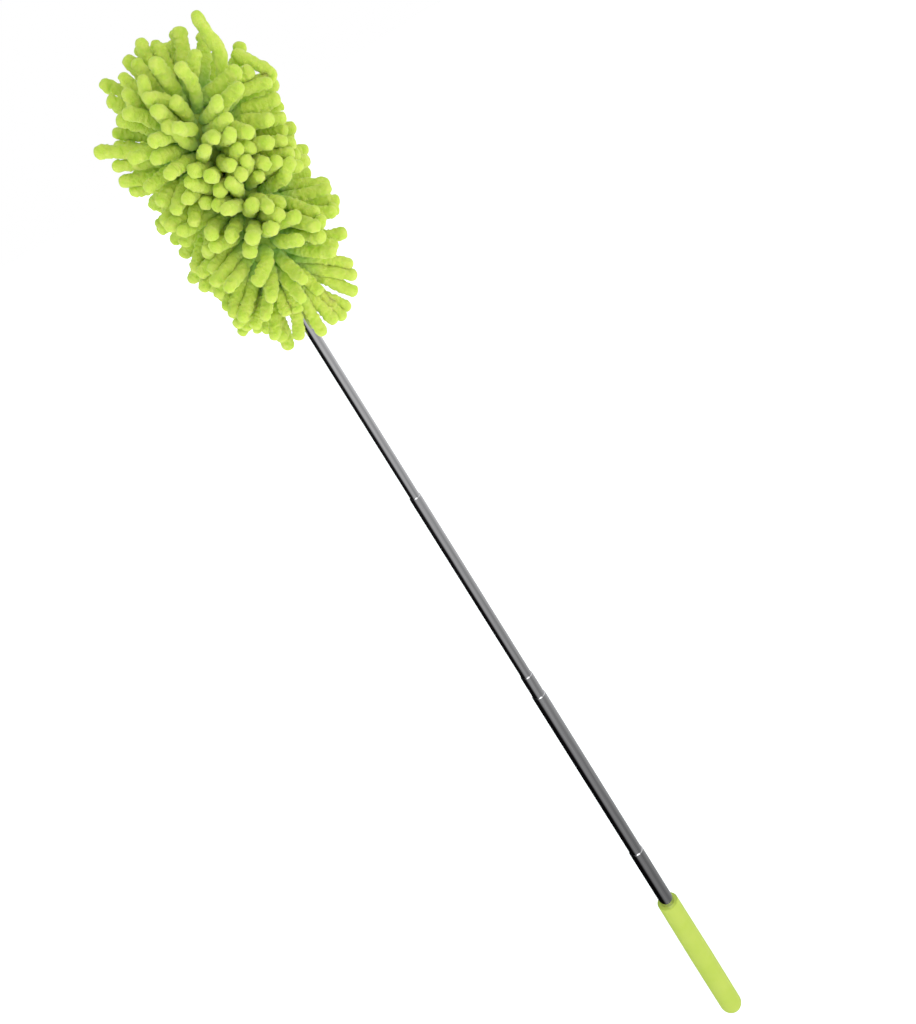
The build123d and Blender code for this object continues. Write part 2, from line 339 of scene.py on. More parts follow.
# --- Fingers: where they grow ----------------------------------------------------------------------
# How steeply a finger points up (degrees from square to the core) at places along the core, on
# each side of the head. The pile has been brushed and bent, so the four sides differ.
SPREAD_AT = np.array([-57.0, -50.0, -43.0, -30.0, -10.0, 4.0, 18.0, 30.0, 40.0, 49.0]) * MM
SPREAD = {
    "right": np.array([-66.0, -54.0, -42.0, -25.0, -10.0, -14.0, -20.0, -18.0, 35.0, 80.0]),
    "back": np.array([-65.0, -52.0, -40.0, -25.0, -10.0, 5.0, 20.0, 45.0, 65.0, 85.0]),
    "left": np.array([-62.0, -52.0, -42.0, -32.0, -26.0, -6.0, 8.0, 26.0, 80.0, 88.0]),
    "front": np.array([-62.0, -44.0, -24.0, -2.0, 18.0, 28.0, 34.0, 38.0, 55.0, 75.0]),
}


def spread(s, angle):
    """Angle for a finger s along the cloth, growing at an angle round it."""
    share = {
        "right": max(math.cos(angle), 0.0) ** 2,
        "back": max(math.sin(angle), 0.0) ** 2,
        "left": max(-math.cos(angle), 0.0) ** 2,
        "front": max(-math.sin(angle), 0.0) ** 2,
    }
    degrees = sum(share[side] * np.interp(s, SPREAD_AT, SPREAD[side]) for side in SPREAD)
    return math.radians(degrees)


SIDE_ROW_SHARE = 0.97           # spacing of the rows up the side, as a share of ROW_STEP
FIRST_DOME_ROW_SHARE = 0.9      # the same, from the last side row to the rounded end's first
DOME_ROW_SHARE = 0.85           # the same, over the rounded end
DOME_CROWDING = 0.2             # extra share of fingers in a row, per radian over the rounded end
ANGLE_JITTER = 0.2              # as a share of the step from finger to finger round a row
HEIGHT_JITTER = 0.8             # mm along the core
TILT_JITTER = 11.0              # degrees
LENGTH_JITTER = 0.08            # as a share of a finger's length
MOST_SHORTER, MOST_LONGER = -0.16, 0.22
CURL_JITTER = 0.6               # radians from end to end of a finger
CURL_PIVOT = 0.3                # where along a finger its curl crosses its own direction


def finger_roots():
    """Root and direction of each finger, in rows up the bag and over its rounded end."""
    roots = []
    last = TOP_CENTRE + CLOTH_RADIUS * math.pi / 2
    side_rows = np.arange(FIRST_ROW, TOP_CENTRE, ROW_STEP * SIDE_ROW_SHARE)
    first_dome_row = side_rows[-1] + ROW_STEP * FIRST_DOME_ROW_SHARE
    dome_rows = np.arange(first_dome_row, last, ROW_STEP * DOME_ROW_SHARE)
    for row, s in enumerate(np.concatenate([side_rows, dome_rows])):
        polar = max(s - TOP_CENTRE, 0.0) / CLOTH_RADIUS
        h = min(s, TOP_CENTRE)
        ring = cloth_radius(h) * math.cos(polar)
        crowd = 1.0 + DOME_CROWDING * polar
        count = max(int(round(2 * math.pi * ring * crowd / ROW_STEP)), 1)
        for k in range(count):
            place = k + 0.5 * (row % 2) + rng.uniform(-ANGLE_JITTER, ANGLE_JITTER)
            angle = 2 * math.pi * place / count
            at = h + rng.uniform(-HEIGHT_JITTER, HEIGHT_JITTER) * MM
            point, up = core_at(at)
            out = around(up, angle)
            skin = cloth_radius(h) - CLOTH_THICKNESS
            steep = spread(s, angle) + math.radians(rng.normal(0, TILT_JITTER))
            root = point + skin * (math.cos(polar) * out + math.sin(polar) * up)
            roots.append((root, math.cos(steep) * out + math.sin(steep) * up))
    return roots


def start_shapes(roots):
    """Each finger as LINKS straight links, gently curved, with its own length."""
    count = len(roots)
    lengths = FINGER_LENGTH * (1 + np.clip(rng.normal(0, LENGTH_JITTER, count), MOST_SHORTER, MOST_LONGER))
    curl = rng.normal(0, CURL_JITTER, count)
    shapes = np.zeros((count, LINKS + 1, 3))
    for index, (root, along) in enumerate(roots):
        side = np.cross(along, rng.normal(size=3))
        side /= np.linalg.norm(side)
        point = np.array(root)
        shapes[index, 0] = point
        for link in range(LINKS):
            turn = curl[index] * ((link + 0.5) / LINKS - CURL_PIVOT)
            step = math.cos(turn) * along + math.sin(turn) * side
            point = point + step * lengths[index] / LINKS
            shapes[index, link + 1] = point
    return shapes, lengths


# Single fingers that stand out of the crowd, each as a few places (mm) from its root to its tip.
ODD_FINGERS = {
    "top_long": [(12.5, -18.5, 683), (24, -23, 684), (31.5, -27, 701), (30.6, -29, 720)],
    "top_middle": [(5, -15, 690), (8, -18, 704), (10, -20, 717)],
    "top_right": [(11.5, -13, 688), (14.5, -13.5, 702), (19.5, -14, 718)],
    "top_left": [(0, -15.5, 689.5), (-2, -20, 703), (-2, -24, 716)],
    "top_far_left": [(-3, -15, 687), (-9, -21, 698), (-10.5, -25.5, 714)],
    "right_folded": [(15.5, -12, 681), (31, -17, 686), (44, -20, 680), (47, -20, 683), (37, -18, 697.5)],
    "right_straight": [(15.5, -16.5, 678), (31, -23, 683), (45, -26, 679.5)],
    "right_high": [(16.5, -13, 675), (31, -19, 674.5), (45, -20.5, 671.5)],
    "right_middle": [(17, -10, 669), (30, -16, 667), (43, -20, 663)],
    "right_low": [(13, -3, 612), (26, -5, 606), (41, -6, 600.5)],
    "right_lower": [(8.5, -3, 603), (21.5, -6, 598), (35.5, -6, 585.5)],
    "right_lowest": [(8, -1.5, 598), (19, -5, 588), (30, -6, 572)],
    "left_high": [(-7.5, -12, 681), (-14, -18, 690), (-23, -22, 699.5)],
    "left_far": [(-7.5, -13, 676), (-20, -17, 681.5), (-40, -20, 692.5)],
    "left_middle": [(-8.5, -11, 669), (-21, -14, 676), (-37, -18, 683)],
    "left_low": [(-9.3, -8, 661), (-20, -12, 664), (-37, -14, 670)],
    "left_lower": [(-9.3, -5, 650), (-20, -12, 650.5), (-33, -14, 650.5)],
    "pole_left": [(-1.2, -7.8, 597), (-1.0, -12.0, 590), (-2.0, -15, 580), (-7, -20, 570.5)],
    "pole_right": [(4.5, -6.8, 597), (4.9, -12.0, 588), (4.7, -14.5, 564.5)],
    "pole_far_right": [(7, -4, 597), (12.5, -7, 584), (18, -9, 564.5)],
    "right_pair": [(8.6, -2.5, 601), (22, -7.5, 590), (34.5, -7, 580)],
    "pole_outer": [(8, -1.5, 594), (15.5, -6, 578.5), (23, -6, 567)],
    "pole_cover": [(-3.5, -7.3, 598), (-3.8, -14.5, 592), (-5.5, -18.5, 583.5)],
    "pole_front": [(2, -7.8, 598), (1.8, -14.5, 592), (-0.3, -18.5, 582)],
    "pole_beside": [(5.5, -6, 598), (9.5, -10, 583), (13, -12, 566)],
    "pole_behind": [(8.1, 1.5, 598), (12.5, 3, 586), (12.5, 3.5, 567)],
    "pole_far_left": [(-8.6, -1, 598), (-13, -3, 587), (-14.5, -4.5, 570)],
    "low_left": [(-7.3, -4.5, 600), (-19, -13, 595), (-30.5, -15.5, 591.5)],
    "low_middle": [(-5.5, -6.2, 599), (-14.5, -15, 592), (-23, -18, 586.5)],
    "left_pair": [(-8.9, -9.5, 664), (-25, -14.5, 670), (-38.5, -15.5, 676)],
}
ODD_ROOM = 0.6 * ROW_STEP       # an ordinary finger this close to a stand-out one gives way to it


def odd_shapes():
    """The stand-out fingers with the same number of links as the others."""
    shapes, lengths = [], []
    for places in ODD_FINGERS.values():
        places = np.array(places) * MM
        run = np.concatenate([[0.0], np.cumsum(np.linalg.norm(np.diff(places, axis=0), axis=1))])
        at = np.linspace(0, run[-1], LINKS + 1)
        shapes.append(np.stack([np.interp(at, run, places[:, axis]) for axis in range(3)], axis=1))
        lengths.append(run[-1])
    return np.array(shapes), np.array(lengths)


def clear_of_odd_ones(roots, odd):
    """Roots without those that a stand-out finger has taken the place of."""
    return [root for root in roots
            if np.min(np.linalg.norm(odd[:, 0] - root[0], axis=1)) > ODD_ROOM]


# --- Fingers: how they settle ----------------------------------------------------------------------
SETTLE_STEPS = 70
STEPS_PER_SEARCH = 8            # steps between two searches for close places
SEARCH_REACH = 9.0 * MM
PUSH_SHARE = 0.35               # how much of an overlap each of the two places gives way in a step
PULL_BACK = 0.06                # how much of the way back to its own shape a finger goes in a step
ODD_PULL_BACK = 0.9             # the same, for the stand-out fingers
SAG_DIRECTION = np.array([-0.52, -0.38, -0.77])
SAG = 0.06 * MM                 # at a finger's tip, in a step
NODES = np.arange(LINKS + 1)
NODE_RADII = np.interp(NODES, [0, 2, 4], [1.5, 2.6, 3.25]) * MM     # squeezed thinner at the root
NODE_FREEDOM = np.interp(NODES, [0, 1, 3], [0.0, 0.15, 1.0])        # the root is sewn down
FIRST_FREE_NODE = 3             # the first that is kept out of the bag

WIDEST_TUBE_RADIUS = 5.0 * MM
TUBE_CLEARANCE = 0.5 * MM
POLE_ROOM = WIDEST_TUBE_RADIUS + TUBE_CLEARANCE + FINGER_RADIUS
CORE_SAMPLES = np.linspace(-66.0, 37.0, 60) * MM    # places along the core line, the length of the bag
CORE_POINTS = np.array([core_at(h)[0] for h in CORE_SAMPLES])
CORE_ROOM = np.array([cloth_radius(h) for h in CORE_SAMPLES]) + FINGER_RADIUS


def close_pairs(points, owner, reach):
    """Pairs of points of different fingers that lie within reach of each other."""
    cells = {}
    keys = np.floor(points / reach).astype(int)
    for index, key in enumerate(map(tuple, keys)):
        cells.setdefault(key, []).append(index)
    first, second = [], []
    offsets = [(i, j, k) for i in (-1, 0, 1) for j in (-1, 0, 1) for k in (-1, 0, 1)]
    for key, members in cells.items():
        for offset in offsets:
            near = cells.get((key[0] + offset[0], key[1] + offset[1], key[2] + offset[2]))
            if near is None:
                continue
            a, b = np.meshgrid(members, near, indexing="ij")
            keep = (a < b) & (owner[a] != owner[b])
            first.append(a[keep])
            second.append(b[keep])
    a, b = np.concatenate(first), np.concatenate(second)
    near = np.linalg.norm(points[a] - points[b], axis=1) < reach
    return a[near], b[near]


def push_apart(x, pairs, radii, freedom):
    """Moves places that overlap away from each other, as far as each is free to go."""
    a, b = pairs
    flat = x.reshape(-1, 3)
    gap = flat[a] - flat[b]
    apart = np.linalg.norm(gap, axis=1) + 1e-9
    short = np.maximum(radii[a] + radii[b] - apart, 0.0)
    push = gap / apart[:, None] * (PUSH_SHARE * short)[:, None]
    move = np.zeros_like(flat)
    np.add.at(move, a, push)
    np.add.at(move, b, -push)
    return (flat + move * freedom).reshape(x.shape)


def keep_off_core(x):
    """Pushes the fingers' middles out of the cloth bag."""
    rows = np.arange(len(x))
    for node in range(FIRST_FREE_NODE, LINKS + 1):
        gap = x[:, node, None] - CORE_POINTS[None]
        apart = np.linalg.norm(gap, axis=2)
        worst = np.argmax(CORE_ROOM[None] - apart, axis=1)
        depth = np.maximum(CORE_ROOM[worst] - apart[rows, worst], 0.0)
        x[:, node] += gap[rows, worst] / apart[rows, worst][:, None] * depth[:, None]


def keep_off_pole(x):
    """Leaves room round the pole's axis for its widest tube, which slides up under the socket."""
    radius = np.hypot(x[..., 0], x[..., 1])
    inside = (x[..., 2] < SOCKET_LOW[2] + FINGER_RADIUS) & (radius < POLE_ROOM)
    scale = np.where(inside, POLE_ROOM / np.maximum(radius, 1e-6), 1.0)
    x[..., 0] *= scale
    x[..., 1] *= scale


def keep_lengths(x, link_length):
    """Brings each link back to its length, from the root outwards."""
    for link in range(LINKS):
        step = x[:, link + 1] - x[:, link]
        length = np.linalg.norm(step, axis=1, keepdims=True)
        x[:, link + 1] = x[:, link] + step / length * link_length


def settle(shapes, lengths):
    """Lets the fingers push each other apart while each keeps its length and most of its shape."""
    count = len(shapes)
    link_length = (lengths / LINKS)[:, None]
    pull = np.full((count, 1, 1), PULL_BACK)
    pull[-len(ODD_FINGERS):] = ODD_PULL_BACK
    owner = np.repeat(np.arange(count), LINKS + 1)
    radii = np.tile(NODE_RADII, count)
    freedom = np.tile(NODE_FREEDOM, count)[:, None]
    sag = SAG_DIRECTION * SAG * (NODES / LINKS)[None, :, None] ** 2
    x = shapes.copy()
    for step in range(SETTLE_STEPS):
        if step % STEPS_PER_SEARCH == 0:
            pairs = close_pairs(x.reshape(-1, 3), owner, SEARCH_REACH)
        x = push_apart(x, pairs, radii, freedom)
        x += NODE_FREEDOM[None, :, None] * (pull * (shapes - x) + sag)
        keep_off_core(x)
        keep_off_pole(x)
        keep_lengths(x, link_length)
    return x


# --- Fingers: their surface -------------------------------------------------------------------------
RINGS = 58                      # along a finger, up to its rounded tip
CAP_RINGS = 7                   # steps over the tip
SPOKES = 28
SIZE_JITTER = 0.05              # as a share of a finger's radius
MOST_SIZE_JITTER = 0.1
TAPER_AT = [0.0, 0.12, 0.3]     # shares of a finger's length
TAPER = [0.62, 0.86, 1.0]       # radius there, as a share of the full radius
UNUSED_DIRECTION = [0.31, 0.52, 0.79]   # no finger grows this way, so it gives each a direction across

TWIST_PITCH = 9.0 * MM          # of the cord's faint twist
TWIST_DEPTH = 0.022             # this and the next three are shares of the radius
WAIST_DEPTH = 0.012
LUMP_DEPTH = 0.055
TUFT_DEPTH = 0.070
LUMP_SMOOTHING = 7              # times that noise is smoothed into soft lumps


def smooth_lines(chains, samples):
    """Points along each chain at the given shares of its length, by cubic curves through its nodes."""
    at = samples * LINKS
    base = np.clip(np.floor(at).astype(int), 0, LINKS - 1)
    t = (at - base)[None, :, None]
    before = np.maximum(base - 1, 0)
    after = np.minimum(base + 2, LINKS)
    p0, p1, p2, p3 = chains[:, before], chains[:, base], chains[:, base + 1], chains[:, after]
    return 0.5 * (2 * p1 + (p2 - p0) * t + (2 * p0 - 5 * p1 + 4 * p2 - p3) * t**2
                  + (3 * p1 - p0 - 3 * p2 + p3) * t**3)


def tufts(along, spokes, count):
    """Uneven pile, as a share of the radius: a faint twist, soft lumps and short-cut tufts."""
    shape = (count, len(along), len(spokes))
    phase = rng.uniform(0, 2 * math.pi, (2, count, 1, 1))
    turn = 2 * math.pi * along[None, :, None] / TWIST_PITCH
    bumps = TWIST_DEPTH * np.cos(2 * spokes[None, None, :] + turn + phase[0])
    bumps = bumps + WAIST_DEPTH * np.cos(2 * turn + phase[1])
    lumps = rng.normal(size=shape)
    for _ in range(LUMP_SMOOTHING):
        lumps = smoothed(lumps)
    fine = smoothed(rng.normal(size=shape))
    return bumps + LUMP_DEPTH * lumps / lumps.std() + TUFT_DEPTH * fine / fine.std()


def smoothed(field):
    """Each value averaged with its neighbours along and round the finger."""
    field = 0.5 * field + 0.25 * (np.roll(field, 1, axis=2) + np.roll(field, -1, axis=2))
    ends = np.pad(field, ((0, 0), (1, 1), (0, 0)), mode="edge")
    return 0.5 * field + 0.25 * (ends[:, :-2] + ends[:, 2:])


def finger_profile(length):
    """For each ring, how far along the finger it is, its radius and how much of the pile it shows."""
    cap = FINGER_RADIUS / length
    body = np.linspace(0.0, 1.0 - cap, RINGS)
    cap_angle = np.linspace(0, math.pi / 2, CAP_RINGS + 1)[1:-1]
    samples = np.concatenate([body, 1.0 - cap + cap * np.sin(cap_angle)])
    profile = np.concatenate([np.interp(body, TAPER_AT, TAPER), np.cos(cap_angle)])
    fade = np.concatenate([np.ones(RINGS), np.cos(cap_angle)])
    return samples, profile, fade


def finger_surfaces(chains, lengths):
    """Rings of vertices along each finger, its tip and root, and how far along it each ring is."""
    count = len(chains)
    mean = float(np.mean(lengths))
    samples, profile, fade = finger_profile(mean)
    lines = smooth_lines(chains, samples)
    tips = smooth_lines(chains, np.array([1.0]))[:, 0]
    tangent = np.gradient(lines, axis=1)
    tangent /= np.linalg.norm(tangent, axis=2, keepdims=True)
    across = np.cross(tangent[:, 0], UNUSED_DIRECTION)
    spokes = np.linspace(0, 2 * math.pi, SPOKES, endpoint=False)
    bumps = tufts(samples * mean, spokes, count) * fade[None, :, None]
    jitter = np.clip(rng.normal(0, SIZE_JITTER, count), -MOST_SIZE_JITTER, MOST_SIZE_JITTER)
    size = FINGER_RADIUS * (1 + jitter)
    vertices = np.zeros((count, len(samples), SPOKES, 3))
    for ring in range(len(samples)):
        t = tangent[:, ring]
        across = across - t * np.sum(across * t, axis=1, keepdims=True)
        across /= np.linalg.norm(across, axis=1, keepdims=True)
        other = np.cross(t, across)
        radius = size[:, None] * profile[ring] * (1 + bumps[:, ring])
        round_it = (np.cos(spokes)[None, :, None] * across[:, None, :]
                    + np.sin(spokes)[None, :, None] * other[:, None, :])
        vertices[:, ring] = lines[:, ring, None, :] + round_it * radius[:, :, None]
    return vertices, tips, lines[:, 0], samples


def skin_faces(first, rows, count, inward=False):
    """Quads between neighbouring rings of count points, the first ring at vertex first."""
    faces = []
    for row in range(rows - 1):
        low, high = first + row * count, first + (row + 1) * count
        for k in range(count):
            right = (k + 1) % count
            quad = (low + k, low + right, high + right, high + k)
            faces.append(quad[::-1] if inward else quad)
    return faces


def fan_faces(first, count, centre, inward=False):
    """Triangles from the ring at vertex first to a point in its middle."""
    faces = []
    for k in range(count):
        a, b = first + k, first + (k + 1) % count
        faces.append((b, a, centre) if inward else (a, b, centre))
    return faces


def finger_faces(rings, offset):
    """Faces of a finger that starts at vertex offset, with its tip and root after its rings."""
    tip, root = offset + rings * SPOKES, offset + rings * SPOKES + 1
    last = offset + (rings - 1) * SPOKES
    return (skin_faces(offset, rings, SPOKES) + fan_faces(last, SPOKES, tip)
            + fan_faces(offset, SPOKES, root, inward=True))


PILE_BUNDLES = 12


def bend_with_head(obj):
    """Bakes the piece's placement into its mesh."""
    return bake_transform(obj)


def build_pile(material):
    """All fingers, in bundles of neighbouring rows."""
    odd, odd_lengths = odd_shapes()
    roots = clear_of_odd_ones(finger_roots(), odd)
    shapes, lengths = start_shapes(roots)
    shapes = np.concatenate([shapes, odd])
    lengths = np.concatenate([lengths, odd_lengths])
    chains = settle(shapes, lengths)
    vertices, tips, starts, samples = finger_surfaces(chains, lengths)
    reach = np.concatenate([np.repeat(samples, SPOKES), [1.0, 0.0]])
    rings = vertices.shape[1]
    bundles = np.array_split(np.arange(len(lengths)), PILE_BUNDLES)
    for number, members in enumerate(bundles):
        points, faces = [], []
        for finger in members:
            offset = len(points)
            points.extend(vertices[finger].reshape(-1, 3))
            points.extend([tips[finger], starts[finger]])
            faces.extend(finger_faces(rings, offset))
        pile = mesh_object(f"chenille_fingers_{number + 1}", points, faces, material)
        # How far along its finger each point is, which the chenille material uses for its painted shade
        # towards the roots.
        along = pile.data.attributes.new("reach", "FLOAT", "POINT")
        along.data.foreach_set("value", np.tile(reach, len(members)))
        if number == 0:
            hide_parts("chenille_pile_lower", "chenille_pile_bend", "chenille_pile_upper")
        bend_with_head(pile)


# --- Cloth bag, foam and wire inside the fingers ----------------------------------------------------
CLOTH_SPOKES = 72
FOAM_SPOKES = 64
FOAM_INSET = 1.15 * MM          # from the outside of the cloth
FOAM_ABOVE_SOCKET = 1.0 * MM
FOAM_RIPPLE = 0.12 * MM         # how uneven the foam's cut face is
RIPPLES = 6
RIPPLES_ALONG = 400.0           # radians per metre
SIDE_ROWS = 40
DOME_ROWS = 8
LAST_DOME_ROW = math.radians(88)


def bag_outline(shrink, low):
    """Height and radius pairs from low up the side of the bag and over its round end."""
    pairs = [(h, cloth_radius(h) - shrink) for h in np.linspace(low, TOP_CENTRE, SIDE_ROWS)]
    radius = CLOTH_RADIUS - shrink
    for polar in [*np.linspace(0, math.pi / 2, DOME_ROWS + 2)[1:-1], LAST_DOME_ROW]:
        pairs.append((TOP_CENTRE + radius * math.sin(polar), radius * math.cos(polar)))
    return pairs


def build_foam(material):
    """The filling of the bag, slightly uneven where it is cut."""
    low = core_height(SOCKET_TOP + FOAM_ABOVE_SOCKET)
    outline = bag_outline(FOAM_INSET, low)
    phases = rng.uniform(0, 2 * math.pi, RIPPLES)
    points = []
    for h, radius in outline:
        point, up = core_at(h)
        for k in range(FOAM_SPOKES):
            angle = 2 * math.pi * k / FOAM_SPOKES
            waves = [math.cos((n + 2) * angle + phases[n] + h * RIPPLES_ALONG) for n in range(RIPPLES)]
            points.append(point + around(up, angle) * (radius + FOAM_RIPPLE * (sum(waves) / RIPPLES)))
    faces = skin_faces(0, len(outline), FOAM_SPOKES)
    for row, inward in ((0, True), (len(outline) - 1, False)):
        faces += fan_faces(row * FOAM_SPOKES, FOAM_SPOKES, len(points), inward)
        points.append(core_at(outline[row][0])[0])
    foam = mesh_object("foam_core", points, faces, material)
    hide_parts("foam_core_lower", "foam_core_bend", "foam_core_upper")
    return bend_with_head(foam)


def build_cloth(material):
    """The bag that the fingers grow on: an outer and an inner skin, joined at the neck."""
    low = core_height(NECK_LOW)
    skins = (bag_outline(0.0, low), bag_outline(CLOTH_THICKNESS, low))
    points, faces = [], []
    for outline in skins:
        for h, radius in outline:
            point, up = core_at(h)
            for k in range(CLOTH_SPOKES):
                points.append(point + around(up, 2 * math.pi * k / CLOTH_SPOKES) * radius)
    rows = len(skins[0])
    inner = rows * CLOTH_SPOKES
    for outline, first, inward in ((skins[0], 0, False), (skins[1], inner, True)):
        faces += skin_faces(first, rows, CLOTH_SPOKES, inward)
        faces += fan_faces(first + (rows - 1) * CLOTH_SPOKES, CLOTH_SPOKES, len(points), inward)
        points.append(core_at(outline[-1][0])[0])
    for k in range(CLOTH_SPOKES):
        right = (k + 1) % CLOTH_SPOKES
        faces.append((k, inner + k, inner + right, right))
    cloth = mesh_object("backing_cloth", points, faces, material)
    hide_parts("cloth_sleeve_lower", "cloth_sleeve_bend", "cloth_sleeve_upper")
    return bend_with_head(cloth)


WIRE_RADIUS = 1.2 * MM
WIRE_SPOKES = 16
WIRE_LEG_AT_SOCKET = 3.2 * MM   # from the core line to each leg
WIRE_LEG = 9.0 * MM             # the same, once the legs have spread
WIRE_IN_SOCKET = 10.0 * MM
WIRE_SPREAD_FROM = 2 * MM       # above the socket
WIRE_SPREAD_RUN = 10.0 * MM
WIRE_BELOW_TOP = 1.0 * MM
WIRE_LEG_POINTS = 46
WIRE_ARC_POINTS = 18


def wire_line():
    """The hairpin's centreline: out of the socket on the left, round the top, down on the right."""
    bottom, top_height = core_height(SOCKET_TOP - WIRE_IN_SOCKET), TOP_CENTRE - WIRE_BELOW_TOP
    line = []
    for h in np.linspace(bottom, top_height, WIRE_LEG_POINTS):
        share = eased((h - core_height(SOCKET_TOP + WIRE_SPREAD_FROM)) / WIRE_SPREAD_RUN)
        line.append((h, WIRE_LEG_AT_SOCKET + (WIRE_LEG - WIRE_LEG_AT_SOCKET) * share))
    left = [core_at(h)[0] - SIDE * x for h, x in line]
    top = []
    point, up = core_at(top_height)
    for angle in np.linspace(math.pi, 0, WIRE_ARC_POINTS)[1:-1]:
        top.append(point + SIDE * WIRE_LEG * math.cos(angle) + up * WIRE_LEG * math.sin(angle))
    right = [core_at(h)[0] + SIDE * x for h, x in reversed(line)]
    return np.array(left + top + right)


def build_wire(material):
    """The hairpin as a round wire along its centreline."""
    line = wire_line()
    tangent = np.gradient(line, axis=0)
    tangent /= np.linalg.norm(tangent, axis=1, keepdims=True)
    points = []
    across = np.array([0.0, 1.0, 0.0])
    for t, p in zip(tangent, line):
        across = across - t * float(across @ t)
        across /= np.linalg.norm(across)
        other = np.cross(t, across)
        for k in range(WIRE_SPOKES):
            angle = 2 * math.pi * k / WIRE_SPOKES
            points.append(p + WIRE_RADIUS * (math.cos(angle) * across + math.sin(angle) * other))
    faces = skin_faces(0, len(line), WIRE_SPOKES)
    last = (len(line) - 1) * WIRE_SPOKES
    faces.append(tuple(reversed(range(WIRE_SPOKES))))
    faces.append(tuple(last + k for k in range(WIRE_SPOKES)))
    wire = mesh_object("core_wire", points, faces, material)
    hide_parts("core_wire_lower", "core_wire_bend", "core_wire_upper")
    return bend_with_head(wire)


ELASTIC_RIBS = 56
ELASTIC_RIB_DEPTH = 0.09 * MM
ELASTIC_OFF_SOCKET = 1.2 * MM
ELASTIC_SPOKES = ELASTIC_RIBS * 6
ELASTIC_SECTION = 20            # points round the band's cross-section


def boxed(value):
    """Turns a circle's sine or cosine into that of a box with rounded corners."""
    return math.copysign(abs(value) ** 0.5, value)


def build_elastic(material):
    """Braided elastic that draws the bag's neck in: a flat band with rounded edges and close ribs."""
    low, high = (np.array(corner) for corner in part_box("neck_elastic"))
    middle_z, half_width = (low[2] + high[2]) / 2, (high[2] - low[2]) / 2
    inner, outer = SOCKET_RADIUS + ELASTIC_OFF_SOCKET, high[0] - ELASTIC_RIB_DEPTH
    middle, half_thickness = (inner + outer) / 2, (outer - inner) / 2
    points, faces = [], []
    for k in range(ELASTIC_SPOKES):
        angle = 2 * math.pi * k / ELASTIC_SPOKES
        rib = ELASTIC_RIB_DEPTH * math.cos(ELASTIC_RIBS * angle)
        row, next_row = k * ELASTIC_SECTION, (k + 1) % ELASTIC_SPOKES * ELASTIC_SECTION
        for j in range(ELASTIC_SECTION):
            turn = 2 * math.pi * j / ELASTIC_SECTION
            across, along = boxed(math.cos(turn)), boxed(math.sin(turn))
            radius = middle + half_thickness * across + (rib if across > 0 else 0.0)
            z = middle_z + half_width * along
            points.append((radius * math.cos(angle), radius * math.sin(angle), z))
            up = (j + 1) % ELASTIC_SECTION
            faces.append((row + j, next_row + j, next_row + up, row + up))
    band = mesh_object("neck_elastic_band", points, faces, material)
    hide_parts("neck_elastic")
    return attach(band, "head_lower")


# --- Carried-over CAD parts -------------------------------------------------------------------------
def paint(node, material):
    """Gives a CAD part its look."""
    for slot in frame["nodes"][node].material_slots:
        slot.material = material


def paint_cad():
    """Looks of the parts whose CAD shape stays."""
    steel = steel_material()
    brass = plain_metal("shim_brass", (0.72, 0.52, 0.22), 0.35, 900.0)
    for number in range(1, 6):
        paint(f"pole_section_{number}", steel)
        if number > 1:
            paint(f"friction_shims_{number}", brass)
    paint("grip_sleeve", vinyl_material())
    paint("butt_plug", moulded_plastic("plug_plastic", (0.05, 0.05, 0.05)))
    paint("head_socket", moulded_plastic("socket_plastic", (0.04, 0.04, 0.045)))
    paint("socket_pin", plain_metal("pin_steel", (0.6, 0.6, 0.6), 0.3, 900.0))


# --- Floor, light and camera ------------------------------------------------------------------------
FLOOR_HALF = 12.0
FLOOR_Z = -0.40                 # below the duster, which is held up


def build_floor():
    """A white sheet far below the duster."""
    material, nodes, links, shader = tree_of("floor")
    paper = ramp(nodes, links, noise(nodes, links, scale=3.0, detail=2.0), [
        (0.3, (0.93, 0.93, 0.93)),
        (0.7, (0.95, 0.95, 0.95)),
    ])
    links.new(paper, shader.inputs["Base Color"])
    shader.inputs["Roughness"].default_value = 0.9
    shader.inputs["Emission Color"].default_value = (1.0, 1.0, 1.0, 1.0)
    shader.inputs["Emission Strength"].default_value = 0.7
    corners = [(x * FLOOR_HALF, y * FLOOR_HALF, FLOOR_Z) for x, y in ((-1, -1), (1, -1), (1, 1), (-1, 1))]
    mesh = bpy.data.meshes.new("floor")
    mesh.from_pydata(corners, [], [(0, 1, 2, 3)])
    mesh.materials.append(material)
    floor = bpy.data.objects.new("floor", mesh)
    bpy.context.collection.objects.link(floor)
    floor.visible_glossy = False


# What the steel mirrors, as a grey for each share of a full turn that starts behind the object
# and passes its left side, its front (0.5) and its right side.
MIRRORED_ROOM = [
    (0.00, 0.030), (0.02, 0.004), (0.355, 0.004), (0.43, 0.50), (0.49, 0.60), (0.55, 0.50), (0.61, 0.36),
    (0.68, 0.40), (0.74, 0.60), (0.84, 0.75), (0.88, 1.10), (0.93, 1.10), (0.96, 0.30), (1.00, 0.030),
]
MIRRORED_LOW, MIRRORED_HIGH = 0.26, 1.40    # how bright that is below and above
LOW_Z, HIGH_Z = -0.75, -0.1                 # of a ray's direction, where below ends and above starts
LAMP_DIRECTION = (0.05, -0.75, 0.66)
LAMP_STRENGTH = 14.0
LAMP_EDGE, LAMP_CORE = 0.90, 0.97           # cosines of the angle from the lamp
ROOM_LIGHT = 0.66
ROOM_COLOR = (0.85, 1.0, 1.0, 1.0)
SEEN_COLOR = (1.0, 1.0, 1.0, 1.0)
FRONT_LIGHT = 0.55
FRONT_COLOR = (1.20, 0.92, 0.95)
FRONT_ANGLE = math.radians(45.0)
FRONT_AIM = (-0.45, 1.0, -0.50)


